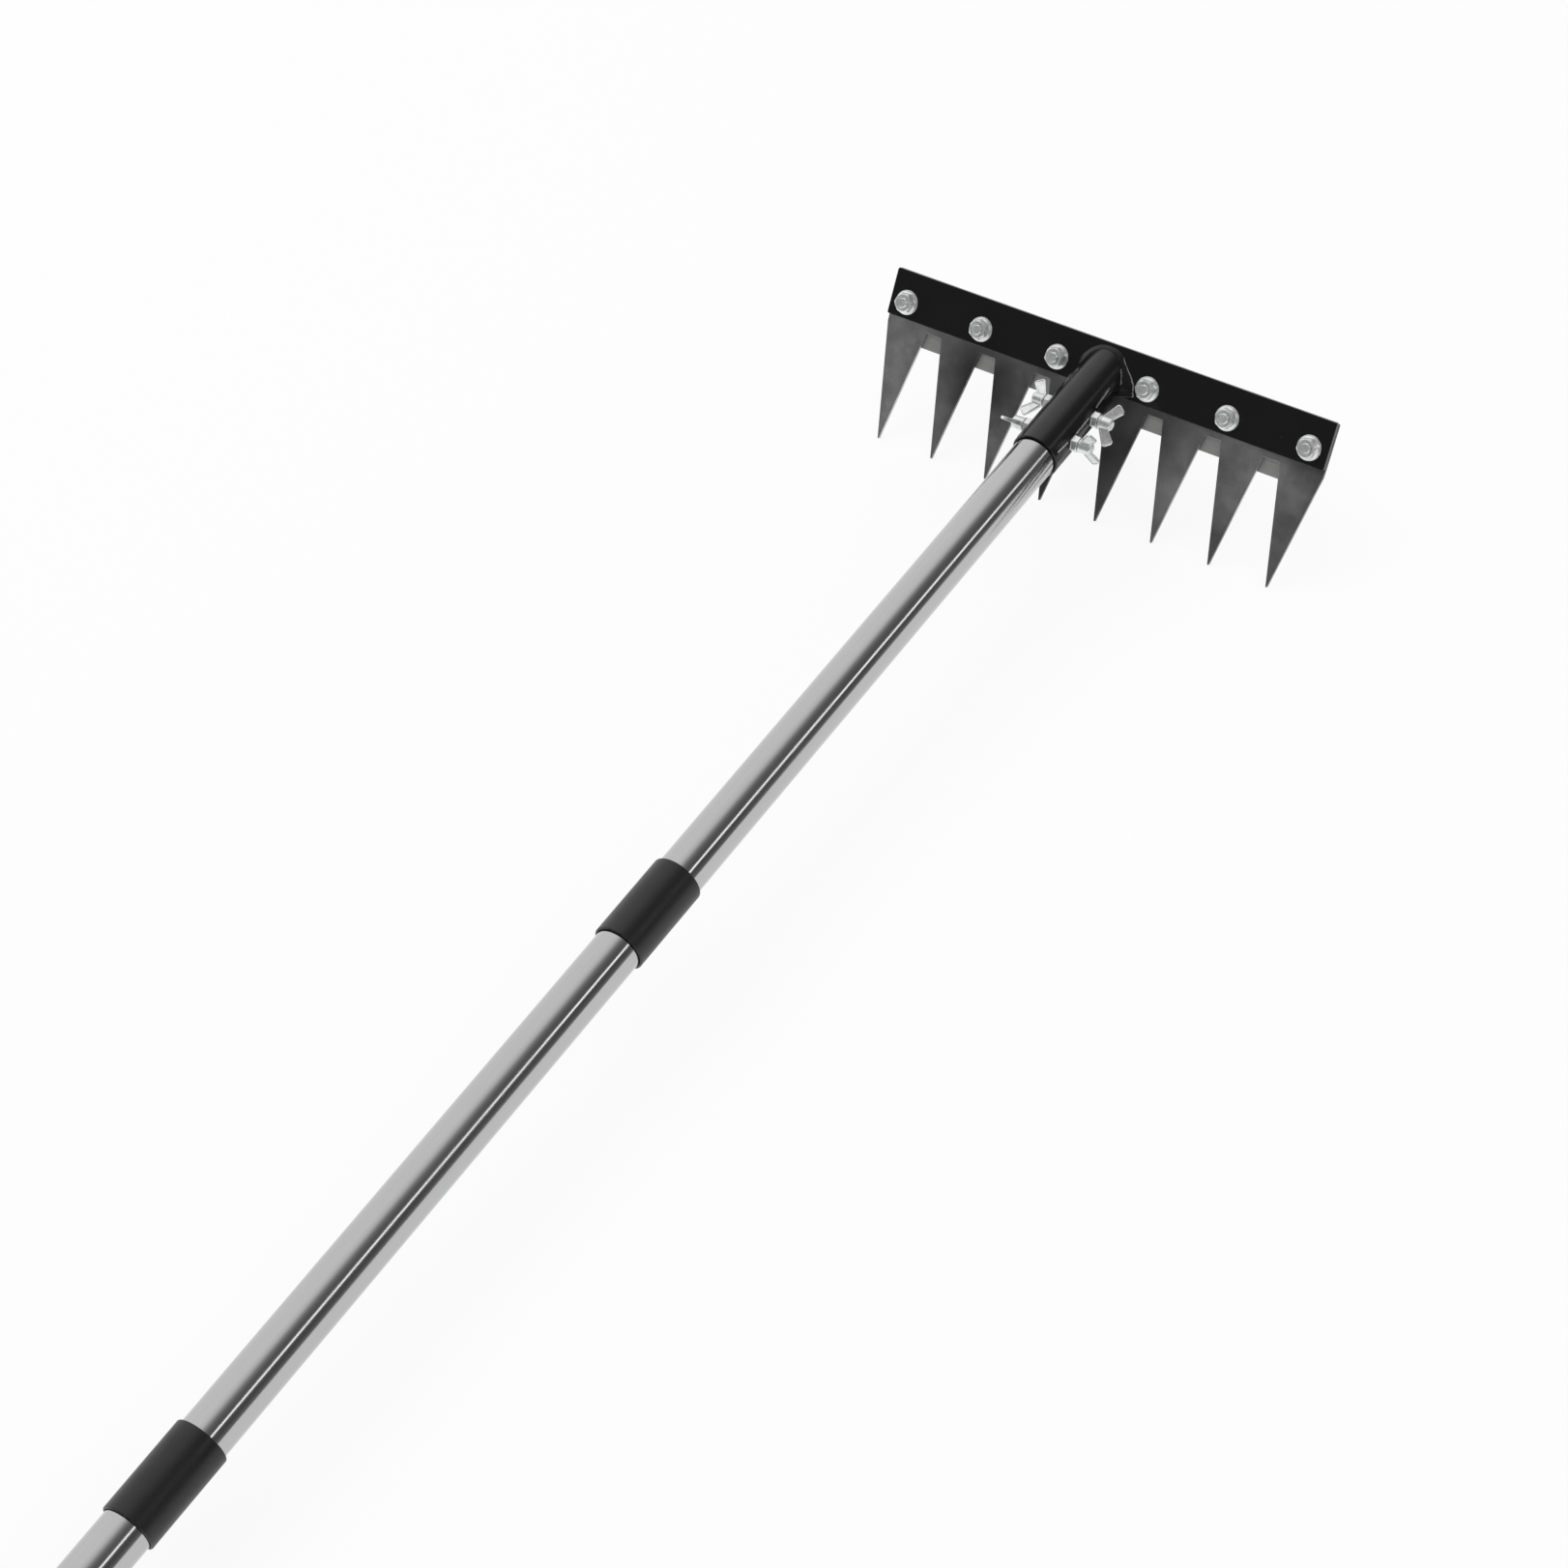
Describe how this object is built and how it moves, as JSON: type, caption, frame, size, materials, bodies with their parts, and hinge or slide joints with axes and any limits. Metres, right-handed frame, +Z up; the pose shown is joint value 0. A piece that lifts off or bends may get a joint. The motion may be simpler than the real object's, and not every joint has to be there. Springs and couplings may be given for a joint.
{
  "type": "lawn leveling rake",
  "caption": "Toothed steel rake head bolted to a black bar, with a socket and wing screws that clamp a sectioned stainless pole.",
  "frame": {"origin": "middle of the bounding box at ground level, where the tooth tips and the end cap rest", "axes": "+X along the bar to the right seen from the hand end, +Y from the hand end to the head, +Z up"},
  "size_m": [0.28, 1.5202, 0.0849],
  "materials": {
    "black_paint": "gloss",
    "tooth_steel": "satin",
    "bare_steel": "rough",
    "zinc_plate": "bright",
    "stainless_tube": "polished",
    "black_plastic": "satin"
  },
  "bodies": {
    "head": {"bar": "black_paint", "tooth_plate": "tooth_steel", "backing_strip": "bare_steel", "bolt_1": "zinc_plate", "bolt_2": "zinc_plate", "bolt_3": "zinc_plate", "bolt_4": "zinc_plate", "bolt_5": "zinc_plate", "bolt_6": "zinc_plate", "flange_nut_1": "zinc_plate", "flange_nut_2": "zinc_plate", "flange_nut_3": "zinc_plate", "flange_nut_4": "zinc_plate", "flange_nut_5": "zinc_plate", "flange_nut_6": "zinc_plate", "socket_tube": "black_paint", "socket_weld": "black_paint", "weld_nut_right_1": "zinc_plate", "weld_nut_left_1": "zinc_plate", "weld_nut_right_2": "zinc_plate", "weld_nut_left_2": "zinc_plate"},
    "pole_1": {"pole_tube_1": "stainless_tube", "coupler_1": "black_plastic", "spigot_1": "black_plastic"},
    "pole_2": {"pole_tube_2": "stainless_tube", "coupler_2": "black_plastic", "spigot_2": "black_plastic"},
    "pole_3": {"pole_tube_3": "stainless_tube", "coupler_3": "black_plastic", "spigot_3": "black_plastic"},
    "pole_4": {"pole_tube_4": "stainless_tube", "end_cap": "black_plastic"},
    "ferrule_1": {"ferrule_1": "black_plastic"},
    "ferrule_2": {"ferrule_2": "black_plastic"},
    "ferrule_3": {"ferrule_3": "black_plastic"},
    "wing_stud_right_1": {"wing_stud_right_1": "zinc_plate"},
    "wing_head_right_1": {"wing_head_right_1": "zinc_plate"},
    "wing_stud_left_1": {"wing_stud_left_1": "zinc_plate"},
    "wing_head_left_1": {"wing_head_left_1": "zinc_plate"},
    "wing_stud_right_2": {"wing_stud_right_2": "zinc_plate"},
    "wing_head_right_2": {"wing_head_right_2": "zinc_plate"},
    "wing_stud_left_2": {"wing_stud_left_2": "zinc_plate"},
    "wing_head_left_2": {"wing_head_left_2": "zinc_plate"}
  },
  "joints": [
    {"name": "pole_slide", "type": "slide", "parent": "head", "child": "pole_1", "axis": [0, -0.9994, -0.0359], "range_m": [0, 0.055]},
    {"name": "wing_travel_right_1", "type": "slide", "parent": "head", "child": "wing_stud_right_1", "axis": [1, 0, 0], "range_m": [0, 0.0033]},
    {"name": "wing_turn_right_1", "type": "hinge", "parent": "wing_stud_right_1", "child": "wing_head_right_1", "pos_m": [0.0175, 0.71449, 0.06666], "axis": [1, 0, 0], "range_deg": [0, 1440]},
    {"name": "wing_travel_left_1", "type": "slide", "parent": "head", "child": "wing_stud_left_1", "axis": [-1, 0, 0], "range_m": [0, 0.0033]},
    {"name": "wing_turn_left_1", "type": "hinge", "parent": "wing_stud_left_1", "child": "wing_head_left_1", "pos_m": [-0.0175, 0.71449, 0.06666], "axis": [-1, 0, 0], "range_deg": [0, 1440]},
    {"name": "wing_travel_right_2", "type": "slide", "parent": "head", "child": "wing_stud_right_2", "axis": [1, 0, 0], "range_m": [0, 0.0033]},
    {"name": "wing_turn_right_2", "type": "hinge", "parent": "wing_stud_right_2", "child": "wing_head_right_2", "pos_m": [0.0175, 0.6933, 0.0659], "axis": [1, 0, 0], "range_deg": [0, 1440]},
    {"name": "wing_travel_left_2", "type": "slide", "parent": "head", "child": "wing_stud_left_2", "axis": [-1, 0, 0], "range_m": [0, 0.0003]},
    {"name": "wing_turn_left_2", "type": "hinge", "parent": "wing_stud_left_2", "child": "wing_head_left_2", "pos_m": [-0.0175, 0.6933, 0.0659], "axis": [-1, 0, 0], "range_deg": [0, 130]},
    {"name": "section_2_travel", "type": "slide", "parent": "pole_1", "child": "ferrule_1", "axis": [0, -0.9994, -0.0359], "range_m": [0, 0.0241]},
    {"name": "section_2_turn", "type": "hinge", "parent": "ferrule_1", "child": "pole_2", "pos_m": [0, 0.31255, 0.05224], "axis": [0, -0.9994, -0.0359], "range_deg": [0, 2160]},
    {"name": "section_3_travel", "type": "slide", "parent": "pole_2", "child": "ferrule_2", "axis": [0, -0.9994, -0.0359], "range_m": [0, 0.0241]},
    {"name": "section_3_turn", "type": "hinge", "parent": "ferrule_2", "child": "pole_3", "pos_m": [0, -0.05072, 0.03921], "axis": [0, -0.9994, -0.0359], "range_deg": [0, 2160]},
    {"name": "section_4_travel", "type": "slide", "parent": "pole_3", "child": "ferrule_3", "axis": [0, -0.9994, -0.0359], "range_m": [0, 0.0241]},
    {"name": "section_4_turn", "type": "hinge", "parent": "ferrule_3", "child": "pole_4", "pos_m": [0, -0.41399, 0.02618], "axis": [0, -0.9994, -0.0359], "range_deg": [0, 2160]}
  ],
  "couplings": [
    {"joint": "wing_travel_right_1", "follows": "wing_turn_right_1", "m_per_rad": 0.00012732},
    {"joint": "wing_travel_left_1", "follows": "wing_turn_left_1", "m_per_rad": 0.00012732},
    {"joint": "wing_travel_right_2", "follows": "wing_turn_right_2", "m_per_rad": 0.00012732},
    {"joint": "wing_travel_left_2", "follows": "wing_turn_left_2", "m_per_rad": 0.00012732},
    {"joint": "section_2_travel", "follows": "section_2_turn", "m_per_rad": 0.00063662},
    {"joint": "section_3_travel", "follows": "section_3_turn", "m_per_rad": 0.00063662},
    {"joint": "section_4_travel", "follows": "section_4_turn", "m_per_rad": 0.00063662}
  ]
}
